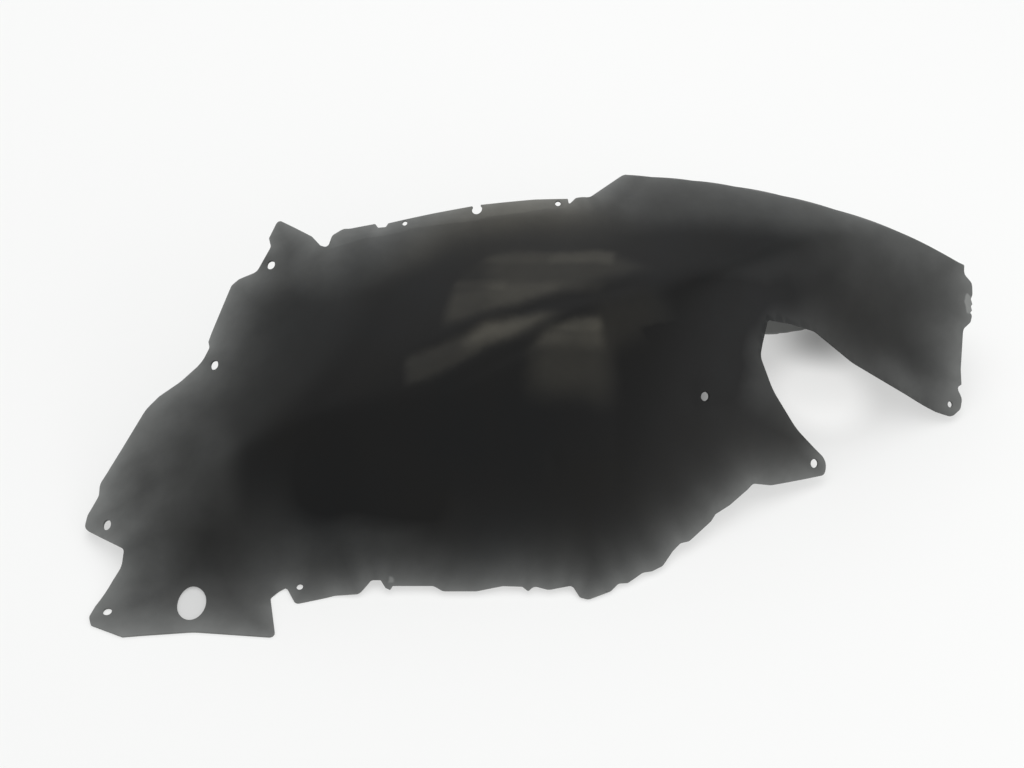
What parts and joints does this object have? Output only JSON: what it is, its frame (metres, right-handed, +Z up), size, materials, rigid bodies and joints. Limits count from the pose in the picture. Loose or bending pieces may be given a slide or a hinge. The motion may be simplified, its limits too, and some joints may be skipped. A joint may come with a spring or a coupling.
{
  "type": "wheel arch trim",
  "caption": "Moulded wheel arch trim: thin arched sheet with a long side arm, an open cut-out, a flat lower panel with an oval hole, and screw holes round its edge.",
  "frame": {"origin": "centre of the bounding box in plan, on the surface that the trim lies on", "axes": "+X along the length to the arm's end, +Y away from the open cut-out to the steep wall, +Z up"},
  "size_m": [0.8023, 0.4058, 0.1903],
  "materials": {
    "trim_plastic": "moulded polypropylene, dark and slightly glossy, with dust and rubbed places"
  },
  "bodies": {
    "root": {"liner": "trim_plastic"}
  },
  "joints": []
}
